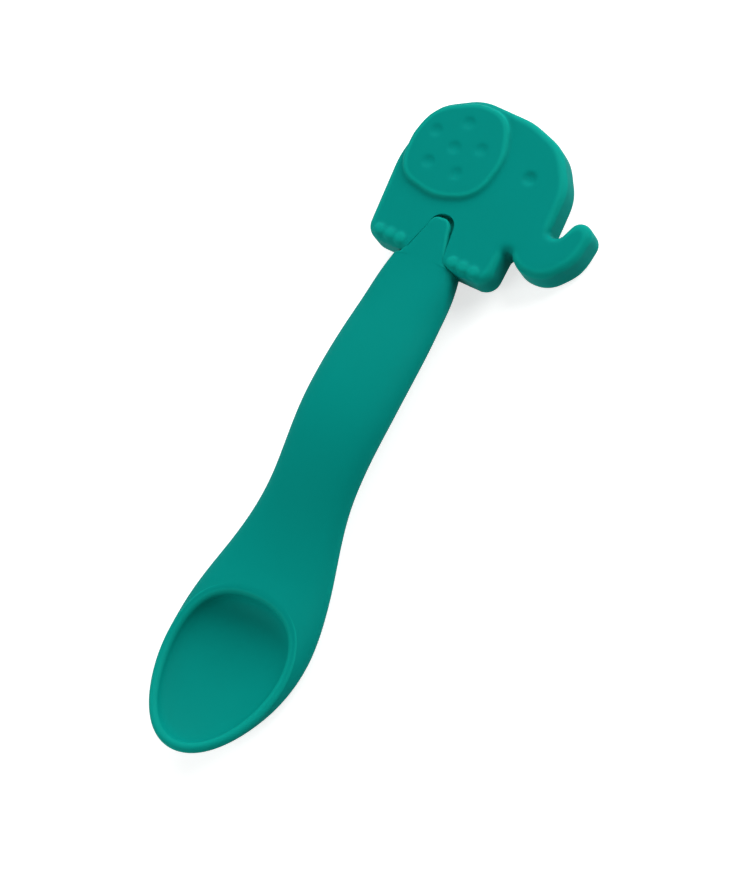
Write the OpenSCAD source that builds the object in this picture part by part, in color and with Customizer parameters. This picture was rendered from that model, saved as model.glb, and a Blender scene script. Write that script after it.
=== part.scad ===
// Baby spoon whose handle ends in an elephant figure, lying on a table.
// X runs along the spoon from the bowl's tip to the figure, Y across it, Z up from the table.
// A size whose name ends in _at is a place along X, measured from the bowl's tip.

/* [Bowl] */
// Width over the bowl's widest line
bowl_w = 29.4; // [26:0.2:33]
// Place of the bowl's greatest width
bowl_wide_at = 25; // [23:0.5:27]
// Length of the bowl's curved underside, from the tip to where it lies flat
bowl_rise_l = 28; // [26:0.5:30]
// Length over which the tip's nose rounds off
nose_l = 12; // [10:0.5:14]
// Height of the tip above the table
tip_z = 9; // [8.2:0.1:10]
// Depth of the nose below its widest line
nose_depth = 4; // [3.4:0.1:4.4]
// Height of the bowl's widest line above the table
bowl_z = 3.3; // [3:0.1:3.8]
// Place of the opening's end on the handle side
opening_end_at = 34.8; // [34:0.2:36.4]
// How far the rim dips between its two ends
rim_sag = 1.9; // [1.5:0.1:2.3]
// How high the bowl's wall would close over its widest line
bowl_crown = 7.3; // [7:0.1:8]
// Place where the bowl's wall starts to close towards the handle
crown_from_at = 16; // [14:0.5:18]
// Radius of the soft lip round the rim
lip_r = 1.05; // [0.8:0.05:1.2]
// Thickness of the floor at the deepest place
floor_t = 1.7; // [1.4:0.1:2.2]
// Place of the deepest point
deep_at = 25; // [22:0.5:28]

/* [Handle] */
// Place where the bowl's back ends and the handle's curve starts
root_at = 39; // [38:0.5:41]
// Place of the narrow waist
waist_at = 59; // [54:0.5:62]
// Height of the handle's root above its widest line
root_rise = 3.8; // [3.5:0.1:4.2]
// Width at the waist
waist_w = 17.8; // [16:0.2:19]
// Place of the widest grip
grip_at = 76; // [72:0.5:80]
// Width at the grip
grip_w = 19; // [17:0.2:21]
// Thickness at the grip
grip_t = 8.4; // [7.6:0.1:9.6]
// Place of the arched back's highest line
crest_at = 73; // [70:0.5:76]
// Height of the widest line on the arched back
crest_z = 7.8; // [7:0.1:8.8]
// Length past the grip over which the handle's sides would close
taper_l = 38.8; // [37.5:0.2:42]
// Place from which the handle's cross-section turns squarer towards the figure
square_from_at = 94; // [90:1:98]
// Place where the handle meets the figure's feet
neck_at = 107.2; // [104:0.2:109]
// Length of the shoulder that steps down to the tongue
shoulder_l = 0.6; // [0.4:0.1:0.9]
// Width of the handle's tongue between the feet
tongue_w = 10.4; // [9.6:0.1:11]
// Thickness of the tongue
tongue_t = 7; // [6:0.1:7.2]
// Length of the tongue past the feet
tongue_l = 9.2; // [8.4:0.1:10]
// Width of the tongue's round end
tongue_end_w = 5.6; // [5.2:0.1:6]

/* [Figure] */
// Height of the elephant from its feet to its back
figure_h = 34; // [30:0.2:37]
// Width of the elephant from its rear to the curl of its trunk
figure_w = 45.4; // [42:0.2:50]
// Turn of the elephant to the left where it meets the handle, in degrees
figure_turn = -5; // [-8:0.5:0]
// Thickness of the body between its two faces
figure_t = 7.2; // [6.8:0.1:8]
// How far each ear stands out from the face
ear_proud = 1.5; // [1.2:0.1:1.8]
// Rounding of the body's edges
body_round = 1.5; // [1.2:0.1:2.4]
// Rounding of the ears' edges
ear_round = 1.2; // [0.6:0.1:1.4]
// Diameter of the dimples in the ears
dimple_d = 3; // [2.4:0.1:3.4]
// Depth of the dimples in the ears
dimple_depth = 0.35; // [0.25:0.05:0.5]
// Distance of the outer dimples from the middle one
dimple_ring_r = 5.8; // [5:0.1:6.4]
// Diameter of the eye's dimple
eye_d = 3.2; // [2.6:0.1:3.6]
// Depth of the eye's dimple
eye_depth = 0.6; // [0.4:0.05:0.8]
// Radius of each toenail
toe_r = 1.5; // [1.3:0.05:1.6]
// Distance between toenails
toe_pitch = 2.5; // [2.2:0.05:2.6]
// How far each toenail stands out from the face
toe_proud = 0.5; // [0.3:0.05:0.7]
// Distance of each foot's first toenail from the tongue
toe_gap = 1.2; // [1:0.1:1.6]
// Rounding of the feet's inner corners beside the tongue
foot_round = 0.4; // [0.2:0.1:0.8]

/* [Core] */
// Thickness of the stiff core
core_t = 3; // [2.4:0.1:3.4]
// Silicone over the core's edges
cover = 2.4; // [2:0.1:2.8]
// Place of the core's front end, behind the bowl
core_from_at = 45; // [43.5:0.5:48]
// Width of the core's tang
tang_w = 3; // [2.6:0.1:3.4]
// Diameter of the holes that key the silicone to the core
key_d = 3.4; // [2.8:0.1:4]
// Distance between the key holes
key_pitch = 11; // [9:0.5:12]
// Width of the anchor inside the figure
anchor_w = 9; // [8:0.2:10]
// Length of the anchor inside the figure
anchor_l = 8; // [7:0.2:9]
// Distance from the tongue's end to the anchor
anchor_gap = 2; // [1.6:0.1:2.4]
// Diameter of the anchor's two holes
anchor_hole_d = 2.2; // [1.8:0.1:2.6]

/* [Hidden] */

// Clearance between the tongue and its notch in the figure
notch_fit = 0.1;
// How far a cut runs past the surface that it starts from
overrun = 1;
// Roundness of the cross-section of the bowl and handle, of the neck and of the tongue, 2 being an ellipse
section_power = 2.3;
neck_power = 4;
tongue_power = 10;
// How suddenly the grip's sides close towards the figure
close_power = 2.5;
// How blunt the tongue's end is from the side
blunt_power = 3.5;
// How early the underside rises towards the tip
rise_power = 0.8;
// How blunt the hollow is at the handle's end, and at the tip and along most of both sides
hollow_end_power = 2.5;
hollow_tip_power = 1.6;
// Share of the way round from the handle's end over which it turns gentle
hollow_turn_share = 0.6;
// How square the core's front end is
core_end_power = 3;
// Points round each ring of the moulding
ring_n = 40;
// Rings along the tongue, its shoulder, the taper and the grip
tongue_n = 4;
shoulder_n = 4;
taper_n = 10;
grip_n = 14;
// Rings that swing from the handle's cross-section to the rim
swing_n = 14;
// Rings round the soft lip
lip_n = 5;
// Steps along the core's bend
core_n = 40;
// Halvings that find the skin along a line, and the share of the half size that they start from
halvings = 22;
search_share = 2;
// Step in degrees of the rings that close the tongue's end
cap_step = 15;
// Step in degrees of the arcs in the figure's outline
arc_step = 12;
// Step in degrees over a soft edge
edge_step = 30;
// Sides of the brush that rounds the soft edges
brush_sides = 16;
// Sides of the holes, the toenails and the dimples
hole_sides = 32;
toe_sides = 24;
dimple_sides = 32;
// Dimples round the middle one in each ear
dimple_n = 5;

// The figure lies flat on an ear, which sets its middle height and the neck's
neck_z = figure_t / 2 + ear_proud;
shoulder_at = neck_at - shoulder_l;
foot_at = neck_at + notch_fit;
tongue_end_at = neck_at + tongue_l;
cap_r = tongue_end_w / 2;
cap_at = tongue_end_at - cap_r;
anchor_at = tongue_end_at + anchor_gap;

// Share of the way from a to b, kept between 0 and 1
function part_of(x, a, b) = min(max((x - a) / (b - a), 0), 1);
// A soft step from a to b as t goes from 0 to 1
function ease(a, b, t) = a + (b - a) * (1 - cos(180 * min(max(t, 0), 1))) / 2;
// A quarter of a superellipse, 1 at t = 0 and 0 at t = 1
function arch(t, power) = pow(max(1 - pow(t, power), 0), 1 / power);

// Half the moulding's width
function half_w(x) =
    x < bowl_wide_at ? bowl_w / 2 * arch(1 - x / bowl_wide_at, 2)
    : x < waist_at ? ease(bowl_w, waist_w, part_of(x, bowl_wide_at, waist_at)) / 2
    : x < grip_at ? ease(waist_w, grip_w, part_of(x, waist_at, grip_at)) / 2
    : x < neck_at ? ease(grip_w * arch((x - grip_at) / taper_l, close_power), tongue_w,
        part_of(x, shoulder_at, neck_at)) / 2
    : x < cap_at ? (tongue_w + (tongue_end_w - tongue_w) * part_of(x, neck_at, cap_at)) / 2
    : cap_r * arch(part_of(x, cap_at, tongue_end_at), 2);

// Height of the moulding's widest line
function edge_z(x) =
    x < bowl_rise_l ? ease(tip_z, bowl_z, pow(max(x, 0) / bowl_rise_l, rise_power))
    : x < crest_at ? ease(bowl_z, crest_z, part_of(x, root_at, crest_at))
    : ease(crest_z, neck_z, part_of(x, crest_at, neck_at));

// The nose's and the tongue's round ends, as a share of the thickness there
function end_round(x) =
    x < nose_l ? arch(1 - max(x, 0) / nose_l, 2)
    : arch(part_of(x, cap_at, tongue_end_at), blunt_power);

// Depth of the moulding below its widest line
function below(x) = end_round(x) * (
    x < nose_l ? nose_depth
    : x < bowl_rise_l ? ease(nose_depth, bowl_z, part_of(x, nose_l, bowl_rise_l))
    : x < grip_at ? ease(bowl_z, grip_t / 2, part_of(x, root_at, grip_at))
    : ease(grip_t, tongue_t, part_of(x, grip_at, neck_at)) / 2);

// Height of the moulding above its widest line
function above(x) = end_round(x) * (
    x < root_at ? ease(bowl_crown, root_rise, part_of(x, crown_from_at, root_at))
    : x < grip_at ? ease(root_rise, grip_t / 2, part_of(x, root_at, grip_at))
    : ease(grip_t, tongue_t, part_of(x, grip_at, neck_at)) / 2);

// The cross-section's roundness
function power_at(x) =
    x < shoulder_at ? ease(section_power, neck_power, part_of(x, square_from_at, shoulder_at))
    : ease(neck_power, tongue_power, part_of(x, shoulder_at, neck_at));

// Below 0 inside the moulding's outer skin and above 0 outside it
function skin_gap(p) =
    let (
        w = half_w(p.x),
        power = power_at(p.x),
        rise = p.z - edge_z(p.x),
        h = rise > 0 ? above(p.x) : below(p.x)
    )
    p.x <= 0 || w <= 0 || h <= 0 ? 1
    : pow(abs(p.y) / w, power) + pow(abs(rise) / h, power) - 1;

// A point of a sheet that sags between its two ends, at a share r of its half sizes
function sheet_point(centre, along, across, sag, angle, r) =
    centre + along * r * cos(angle) + across * r * sin(angle)
    - [0, 0, sag * (1 - pow(r * cos(angle), 2))];

// The share r at which that sheet meets the skin
function skin_share(centre, along, across, sag, angle, near, far, steps) =
    let (mid = (near + far) / 2)
    steps == 0 ? mid
    : skin_gap(sheet_point(centre, along, across, sag, angle, mid)) > 0
        ? skin_share(centre, along, across, sag, angle, near, mid, steps - 1)
        : skin_share(centre, along, across, sag, angle, mid, far, steps - 1);

// A ring of the skin in the sheet that runs from a top point to a bottom point
function skin_ring(top, bottom, sag) =
    let (
        centre = (top + bottom) / 2,
        along = (top - bottom) / 2,
        across = [0, max(half_w(top.x), half_w(centre.x)), 0]
    )
    [for (i = [0 : ring_n - 1])
        let (angle = 360 * i / ring_n)
        sheet_point(centre, along, across, sag, angle,
            skin_share(centre, along, across, sag, angle, 0, search_share, halvings))];

function top_point(x) = [x, 0, edge_z(x) + above(x)];
function bottom_point(x) = [x, 0, edge_z(x) - below(x)];

// Places from one place towards another, without the last
function places(from, to, n) = [for (i = [0 : n - 1]) from + (to - from) * i / n];

// Upright rings, from the tongue's end back to the bowl
cap_places = [for (a = [90 - cap_step : -cap_step : cap_step]) cap_at + cap_r * sin(a)];
handle_places = concat(
    cap_places,
    places(cap_at, neck_at, tongue_n),
    places(neck_at, shoulder_at, shoulder_n),
    places(shoulder_at, grip_at, taper_n),
    places(grip_at, root_at, grip_n),
    [root_at]);
handle_rings = [for (x = handle_places) skin_ring(top_point(x), bottom_point(x), 0)];

// Rings that swing about the opening's end until they lie in the rim
swing_rings = [
    for (i = [1 : swing_n])
    let (t = i / swing_n)
    skin_ring(
        top_point(root_at + (opening_end_at - root_at) * t),
        bottom_point(root_at * (1 - sin(90 * t))),
        rim_sag * t * t)
];
rim_ring = swing_rings[swing_n - 1];
rim_centre = [opening_end_at / 2, 0, 0];
deep_point = [deep_at, 0, floor_t];

// A point moved level towards another by a distance
function drawn_in(p, target, distance) =
    let (way = [target.x - p.x, target.y - p.y, 0])
    p + way * distance / norm(way);

// Share of the way round the rim from the handle's end to the tip, on either side
function towards_tip(i) = 1 - abs(1 - 2 * i / ring_n);

// The lip is a half round bead at the tip, and only its inner half is left at the handle's end
function lip_ring(turn) = [
    for (i = [0 : ring_n - 1])
    let (
        bead = ease(0, 1, towards_tip(i)),
        lift = turn < 90 ? bead * sin(turn) : bead - 1 + sin(turn)
    )
    drawn_in(rim_ring[i], rim_centre, lip_r * (1 - cos(turn))) + [0, 0, lip_r * lift]
];
lip_rings = [for (i = [1 : lip_n]) lip_ring(180 * i / lip_n)];
lip_edge = lip_rings[lip_n - 1];

// The hollow is blunt and steep at the handle's end and runs out gently to the tip
hollow_shares = [0.99, 0.96, 0.9, 0.81, 0.69, 0.54, 0.37, 0.19];
function hollow_ring(q) = [
    for (i = [0 : ring_n - 1])
    let (
        power = ease(hollow_end_power, hollow_tip_power, part_of(towards_tip(i), 0, hollow_turn_share)),
        edge = lip_edge[i],
        level = deep_point + (edge - deep_point) * q
    )
    [level.x, level.y, floor_t + (edge.z - floor_t) * (1 - arch(q, power))]
];
hollow_rings = [for (q = hollow_shares) hollow_ring(q)];

// One closed skin through a list of rings, with a point at each end
module ringed_solid(first, rings, last) {
    m = len(rings);
    points = concat([first], [for (r = rings) for (p = r) p], [last]);
    function at(j, i) = 1 + j * ring_n + i % ring_n;
    polyhedron(
        points,
        concat(
            [for (i = [0 : ring_n - 1]) [0, at(0, i), at(0, i + 1)]],
            [for (j = [0 : m - 2]) for (i = [0 : ring_n - 1]) [at(j, i), at(j + 1, i + 1), at(j, i + 1)]],
            [for (j = [0 : m - 2]) for (i = [0 : ring_n - 1]) [at(j, i), at(j + 1, i), at(j + 1, i + 1)]],
            [for (i = [0 : ring_n - 1]) [len(points) - 1, at(m - 1, i + 1), at(m - 1, i)]]));
}

// Height of the middle of the moulding's cross-section, which the core follows
function core_z(x) = edge_z(x) + (above(x) - below(x)) / 2;
core_places = concat(places(core_from_at, neck_at, core_n), [neck_at]);

// Half the core's width, closing to a round front end and running into the tang
function core_half_w(x) =
    max(tang_w / 2, (half_w(x) - cover) * arch(1 - part_of(x, core_from_at, waist_at), core_end_power));

// The blade seen from above
module core_outline() {
    blade = [for (x = core_places) if (half_w(x) - cover > tang_w / 2) [x, core_half_w(x)]];
    polygon(concat(blade, [for (i = [len(blade) - 1 : -1 : 0]) [blade[i].x, -blade[i].y]]));
    translate([grip_at, -tang_w / 2])
        square([anchor_at + anchor_l / 2 - grip_at, tang_w]);
}

// The blade seen from the side, bent as the handle is
module core_ribbon() {
    bent = [for (x = core_places) [x, core_z(x)]];
    straight_to = anchor_at + anchor_l + overrun;
    line = concat([[core_from_at - overrun, core_z(core_from_at)]], bent, [[straight_to, neck_z]]);
    m = len(line);
    polygon(concat(
        [for (p = line) p + [0, core_t / 2]],
        [for (i = [m - 1 : -1 : 0]) line[i] - [0, core_t / 2]]));
}

module key_holes() {
    for (x = [core_from_at + key_pitch : key_pitch : neck_at - key_pitch])
        translate([x, 0, core_z(x) - grip_t / 2])
            cylinder(h = grip_t, d = key_d, $fn = hole_sides);
}

// A flat nylon blade whose tang carries the figure on a keyed anchor
module core_shape() {
    difference() {
        union() {
            intersection() {
                linear_extrude(crest_z + grip_t)
                    core_outline();
                translate([0, grip_w / 2, 0])
                    rotate([90, 0, 0])
                        linear_extrude(grip_w)
                            core_ribbon();
            }
            translate([anchor_at + anchor_l / 2, 0, neck_z])
                anchor();
        }
        key_holes();
    }
}

module anchor() {
    difference() {
        cube([anchor_l, anchor_w, core_t], center = true);
        for (side = [-1, 1])
            translate([0, side * anchor_w / 4, 0])
                cylinder(h = core_t + overrun, d = anchor_hole_d, center = true, $fn = hole_sides);
    }
}

// A corner's arc, as points from the side towards a to the side towards c
function corner(a, b, c, r) =
    let (
        to_a = (a - b) / norm(a - b),
        to_c = (c - b) / norm(c - b),
        half = acos(to_a * to_c) / 2,
        tangent = min(r / tan(half), norm(a - b) / 2, norm(c - b) / 2),
        arc_r = tangent * tan(half),
        bisector = (to_a + to_c) / norm(to_a + to_c),
        centre = b + bisector * arc_r / sin(half),
        from = b + to_a * tangent - centre,
        turn = (cross(to_a, to_c) > 0 ? -1 : 1) * (180 - 2 * half),
        steps = ceil(abs(turn) / arc_step),
        start = atan2(from.y, from.x)
    )
    [for (i = [0 : steps]) centre + arc_r * [cos(start + turn * i / steps), sin(start + turn * i / steps)]];

// A closed outline with round corners, from rows of place and radius
function rounded(rows) =
    let (m = len(rows))
    [
        for (i = [0 : m - 1])
        let (a = rows[(i + m - 1) % m], b = rows[i], c = rows[(i + 1) % m])
        each corner([a.x, a.y], [b.x, b.y], [c.x, c.y], b.z)
    ];

// The elephant from the side: shares of its height up from the feet, of its width to the left, and radii
// as shares of its height
body_shares = [
    [-0.012, 0.312, 0.1],
    [0.5, 0.373, 0.5],
    [0.86, 0.345, 0.22],
    [1.01, 0.15, 0.3],
    [1.005, -0.12, 0.4],
    [0.93, -0.31, 0.3],
    [0.72, -0.43, 0.3],
    [0.415, -0.46, 0.07],
    [0.44, -0.515, 0.05],
    [0.59, -0.55, 0.075],
    [0.56, -0.645, 0.08],
    [0.34, -0.64, 0.25],
    [0.165, -0.54, 0.2],
    [0.165, -0.4, 0.16],
    [0.31, -0.315, 0.03],
    [0, -0.332, 0.09]
];
ear_shares = [
    [0.955, 0.187, 0.24],
    [0.982, -0.03, 0.2],
    [0.72, -0.125, 0.3],
    [0.42, -0.1, 0.22],
    [0.325, 0.1, 0.3],
    [0.38, 0.33, 0.2],
    [0.67, 0.37, 0.3]
];
eye_shares = [0.68, -0.25];
dimple_shares = [0.66, 0.135];

// A place on the figure, from its height up from the feet and its distance to the left
function figure_place(up, to_left) =
    [foot_at, 0] + up * [cos(figure_turn), sin(figure_turn)] + to_left * [-sin(figure_turn), cos(figure_turn)];
function figure_rows(shares) = [
    for (s = shares)
    concat(figure_place(s.x * figure_h, s.y * figure_w), [s.z * figure_h])
];

figure_points = rounded(figure_rows(body_shares));
ear_points = rounded(figure_rows(ear_shares));

// Half the notch between the feet, which follows the tongue and rounds the feet's corners
function notch_half_w(x) =
    half_w(x - notch_fit) + notch_fit + foot_round * (1 - arch(1 - part_of(x, foot_at, foot_at + foot_round), 2));
notch_places = concat(
    [foot_at - overrun],
    places(shoulder_at + notch_fit, foot_at, shoulder_n),
    [for (a = [0 : cap_step : 90]) foot_at + foot_round * (1 - cos(a))],
    [for (a = [0 : cap_step : 90]) cap_at + notch_fit + cap_r * sin(a)]);

// A brush that rounds a slab's edges, with its poles and quarter points on the true radius
module round_brush(r) {
    rotate_extrude($fn = brush_sides)
        polygon([for (a = [-90 : edge_step : 90]) r * [cos(a), sin(a)]]);
}

// A slab of a 2D shape with soft edges
module soft_slab(t, r) {
    minkowski() {
        translate([0, 0, r - t / 2])
            linear_extrude(t - 2 * r)
                offset(delta = -r)
                    children();
        round_brush(r);
    }
}

// The parts of one face of the figure are the same on the other
module on_both_faces() {
    for (side = [0, 1])
        mirror([0, 0, side])
            children();
}

module toes() {
    for (side = [-1, 1])
        for (i = [0 : 2])
            translate(concat(
                figure_place(toe_r, side * (tongue_w / 2 + toe_gap + i * toe_pitch)),
                [figure_t / 2 + toe_proud - toe_r]))
                sphere(r = toe_r, $fn = toe_sides);
}

module notch() {
    linear_extrude(figure_t + overrun, center = true)
        polygon(concat(
            [for (x = notch_places) [x, notch_half_w(x)]],
            [for (i = [len(notch_places) - 1 : -1 : 0]) [notch_places[i], -notch_half_w(notch_places[i])]]));
}

// The ball whose cap presses a dimple into a face
module dimple(place, face_z, d, depth) {
    r = (d * d / 4 + depth * depth) / (2 * depth);
    translate(concat(place, [face_z - depth + r]))
        sphere(r = r, $fn = dimple_sides);
}

module dimples() {
    middle = [dimple_shares.x * figure_h, dimple_shares.y * figure_w];
    ear_z = figure_t / 2 + ear_proud;
    dimple(figure_place(middle.x, middle.y), ear_z, dimple_d, dimple_depth);
    for (i = [0 : dimple_n - 1])
        let (way = middle + dimple_ring_r * [cos(360 * i / dimple_n), sin(360 * i / dimple_n)])
            dimple(figure_place(way.x, way.y), ear_z, dimple_d, dimple_depth);
    dimple(figure_place(eye_shares.x * figure_h, eye_shares.y * figure_w), figure_t / 2, eye_d, eye_depth);
}

// The figure and the handle are set so that the whole spoon's box is centred over the origin
all_points = concat(figure_points, ear_points);
reach = max([for (p = all_points) p.x]);
left = max([for (p = all_points) p.y]);
right = min([for (p = all_points) p.y]);
module placed() {
    translate([-reach / 2, -(left + min(right, -bowl_w / 2)) / 2, 0])
        children();
}

module spoon_moulding() {
    color("#00897B")
        placed()
            difference() {
                ringed_solid(
                    [tongue_end_at, 0, neck_z],
                    concat(handle_rings, swing_rings, lip_rings, hollow_rings),
                    deep_point);
                core_shape();
            }
}

module stiffener_core() {
    color("ivory")
        placed()
            core_shape();
}

module elephant_figure() {
    color("#00897B")
        placed()
            difference() {
                translate([0, 0, neck_z])
                    difference() {
                        union() {
                            soft_slab(figure_t, body_round)
                                polygon(figure_points);
                            soft_slab(figure_t + 2 * ear_proud, ear_round)
                                polygon(ear_points);
                            on_both_faces()
                                toes();
                        }
                        on_both_faces()
                            dimples();
                        notch();
                    }
                core_shape();
            }
}

spoon_moulding();
stiffener_core();
elephant_figure();
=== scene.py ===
"""Baby spoon of teal silicone whose handle ends in an elephant figure, lying on a pale table.

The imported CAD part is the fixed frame. Two of its nodes are stood for by finer meshes here: the bowl and
handle, drawn out ring by ring, and the elephant, cut from soft-edged slabs. The stiff core inside them
stays the CAD's own. Sizes are in millimetres, measured as in the part: along X from the bowl's tip.
"""

import logging
from dataclasses import dataclass
from enum import Enum
from math import acos, atan2, ceil, cos, degrees, radians, sin, tan
from typing import Callable, Sequence

import bmesh
import bpy
import numpy as np
from mathutils import Matrix, Vector
from mathutils.kdtree import KDTree

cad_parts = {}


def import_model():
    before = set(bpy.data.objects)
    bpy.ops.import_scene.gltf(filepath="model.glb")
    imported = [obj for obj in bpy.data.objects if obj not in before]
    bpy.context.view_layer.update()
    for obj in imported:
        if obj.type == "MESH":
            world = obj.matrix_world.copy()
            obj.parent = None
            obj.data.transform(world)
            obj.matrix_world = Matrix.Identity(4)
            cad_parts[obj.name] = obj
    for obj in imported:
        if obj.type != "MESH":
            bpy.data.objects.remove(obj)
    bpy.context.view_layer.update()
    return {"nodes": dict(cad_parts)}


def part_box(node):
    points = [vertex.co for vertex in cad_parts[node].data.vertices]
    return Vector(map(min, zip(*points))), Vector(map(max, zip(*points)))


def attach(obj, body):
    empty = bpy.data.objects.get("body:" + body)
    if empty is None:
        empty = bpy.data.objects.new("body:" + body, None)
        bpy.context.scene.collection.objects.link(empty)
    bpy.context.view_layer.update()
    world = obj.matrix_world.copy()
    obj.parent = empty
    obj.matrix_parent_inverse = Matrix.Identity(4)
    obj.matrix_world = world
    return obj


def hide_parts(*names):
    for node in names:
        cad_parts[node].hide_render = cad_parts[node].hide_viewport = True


LOG = logging.getLogger("baby_spoon")
MM = 0.001
# What the points of a skin carry: their spoke's number, and how sharply they stand out
SPOKE = "spoke"
CONVEXITY = "convexity"
# Points nearer than this are merged
WELD_M = MM / 1000
# How far towards its neighbours' middle a pass of smoothing moves a point
SMOOTHING = 0.5
# Edges that turn by more degrees than this stay hard
HARD_EDGE = 40.0

Point = tuple[float, float, float]
Flat = tuple[float, float]
Piece = bpy.types.Object
Socket = bpy.types.NodeSocket
Placing = Callable[[Vector], Vector]


class Slot(Enum):
    """The record's material slots."""

    SILICONE = "silicone"
    NYLON = "nylon"


# Shape functions


def part_of(x: float, a: float, b: float) -> float:
    """Share of the way from a to b, kept between 0 and 1."""
    return min(max((x - a) / (b - a), 0.0), 1.0)


def ease(a: float, b: float, t: float) -> float:
    """A soft step from a to b as t goes from 0 to 1."""
    return a + (b - a) * (1 - cos(radians(180 * part_of(t, 0, 1)))) / 2


def course(x: float, *stations: Flat) -> float:
    """A soft line through stations, level at each of them, before the first and past the last.

    Args:
        x: The place along it.
        stations: Each station's place and value, in order.

    Returns:
        The value at x.
    """
    for (a, start), (b, end) in zip(stations, stations[1:]):
        if x < b:
            return ease(start, end, part_of(x, a, b))
    return stations[-1][1]


def arch(t: float, power: float) -> float:
    """A quarter of a superellipse, 1 at t = 0 and 0 at t = 1."""
    return max(1 - t**power, 0.0) ** (1 / power)


def spread(start: float, stop: float, count: int) -> list[float]:
    """A number of even places from start towards stop, which isn't one of them."""
    return [start + (stop - start) * i / count for i in range(count)]


def direction(azimuth: float, elevation: float) -> Vector:
    """The unit vector to a place at these angles in degrees, azimuth 0 being the side of -Y."""
    az, el = radians(azimuth), radians(elevation)
    return Vector((sin(az) * cos(el), -cos(az) * cos(el), sin(el)))


# Modelling by hand


def deselect_all() -> None:
    """Leave object mode with nothing selected."""
    if bpy.context.object is not None and bpy.context.object.mode != "OBJECT":
        bpy.ops.object.mode_set(mode="OBJECT")
    bpy.ops.object.select_all(action="DESELECT")


def pick(pieces: Sequence[Piece]) -> None:
    """Select pieces, and make the first of them active.

    Args:
        pieces: The objects to select.
    """
    deselect_all()
    for piece in pieces:
        piece.select_set(True)
    bpy.context.view_layer.objects.active = pieces[0]


def finish_with(piece: Piece, kind: str, **settings: object) -> None:
    """Add a modifier to a piece and apply it.

    Args:
        piece: The object to finish.
        kind: The modifier's type.
        settings: Its properties.
    """
    pick([piece])
    bpy.ops.object.modifier_add(type=kind)
    modifier = piece.modifiers[-1]
    for name, value in settings.items():
        setattr(modifier, name, value)
    bpy.ops.object.modifier_apply(modifier=modifier.name)


def cut_out(piece: Piece, cutter: Piece) -> None:
    """Cut a shape out of a piece, and delete the shape."""
    finish_with(piece, "BOOLEAN", operation="DIFFERENCE", object=cutter, solver="EXACT")
    bpy.data.objects.remove(cutter)


def joined(pieces: Sequence[Piece]) -> Piece:
    """Join pieces into the first of them.

    Args:
        pieces: The objects to join.

    Returns:
        The joined object.
    """
    pick(pieces)
    bpy.ops.object.join()
    return pieces[0]


def settled() -> Piece:
    """The primitive that was just added, with its place put into its mesh."""
    bpy.ops.object.transform_apply(location=True, rotation=True, scale=True)
    return bpy.context.object


class RingDrawer:
    """Draws a skin out of a circle, one extruded ring after another.

    Each point of the circle carries the number of its spoke, which every ring extruded from it keeps.
    """

    def __init__(self, name: str, spokes: int, filled: bool) -> None:
        """Start with a circle.

        Args:
            name: The new object's name.
            spokes: Points round each ring.
            filled: Whether the circle is a face, so that the skin is closed as it is drawn.
        """
        deselect_all()
        fill = "NGON" if filled else "NOTHING"
        bpy.ops.mesh.primitive_circle_add(vertices=spokes, radius=MM, fill_type=fill)
        self.spokes = spokes
        self.piece = bpy.context.object
        self.piece.name = self.piece.data.name = name
        numbers = self.piece.data.attributes.new(SPOKE, "INT", "POINT")
        numbers.data.foreach_set("value", list(range(spokes)))
        bpy.ops.object.mode_set(mode="EDIT")
        bpy.ops.mesh.select_all(action="SELECT")

    def lay(self, ring: Sequence[Vector]) -> None:
        """Put the selected ring's points in their places.

        Args:
            ring: The places, one for each spoke.
        """
        shape = bmesh.from_edit_mesh(self.piece.data)
        spoke = shape.verts.layers.int[SPOKE]
        for vertex in shape.verts:
            if vertex.select:
                vertex.co = ring[vertex[spoke]]
        bmesh.update_edit_mesh(self.piece.data)

    def draw(self, rings: Sequence[Sequence[Vector]]) -> None:
        """Lay the first ring and extrude the others from it.

        Args:
            rings: The rings in order.
        """
        self.lay(rings[0])
        for ring in rings[1:]:
            bpy.ops.mesh.extrude_region_move()
            self.lay(ring)

    def close_to(self, point: Vector) -> None:
        """Extrude the selected ring and merge it at a point.

        Args:
            point: The place of the skin's end.
        """
        bpy.ops.mesh.extrude_region_move()
        bpy.ops.mesh.merge(type="COLLAPSE")
        self.lay([point] * self.spokes)

    def select_open_edge(self) -> None:
        """Select the ring where the skin is still open."""
        bpy.ops.mesh.select_mode(type="EDGE")
        bpy.ops.mesh.select_all(action="DESELECT")
        bpy.ops.mesh.select_non_manifold()
        bpy.ops.mesh.select_mode(type="VERT")

    def done(self) -> Piece:
        """Turn the faces outwards and leave edit mode.

        Returns:
            The drawn object.
        """
        bpy.ops.mesh.select_all(action="SELECT")
        bpy.ops.mesh.remove_doubles(threshold=WELD_M)
        bpy.ops.mesh.normals_make_consistent(inside=False)
        bpy.ops.object.mode_set(mode="OBJECT")
        self.piece.data.attributes.remove(self.piece.data.attributes[SPOKE])
        return self.piece


def rows_of(items: bpy.types.bpy_prop_collection, name: str, width: int, kind: type) -> np.ndarray:
    """Read one property of all of a mesh's points or edges.

    Args:
        items: The points or edges.
        name: The property.
        width: How many numbers it has.
        kind: Their type.

    Returns:
        A row of numbers for each item.
    """
    numbers = np.zeros(len(items) * width, kind)
    items.foreach_get(name, numbers)
    return numbers.reshape(-1, width)


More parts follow.
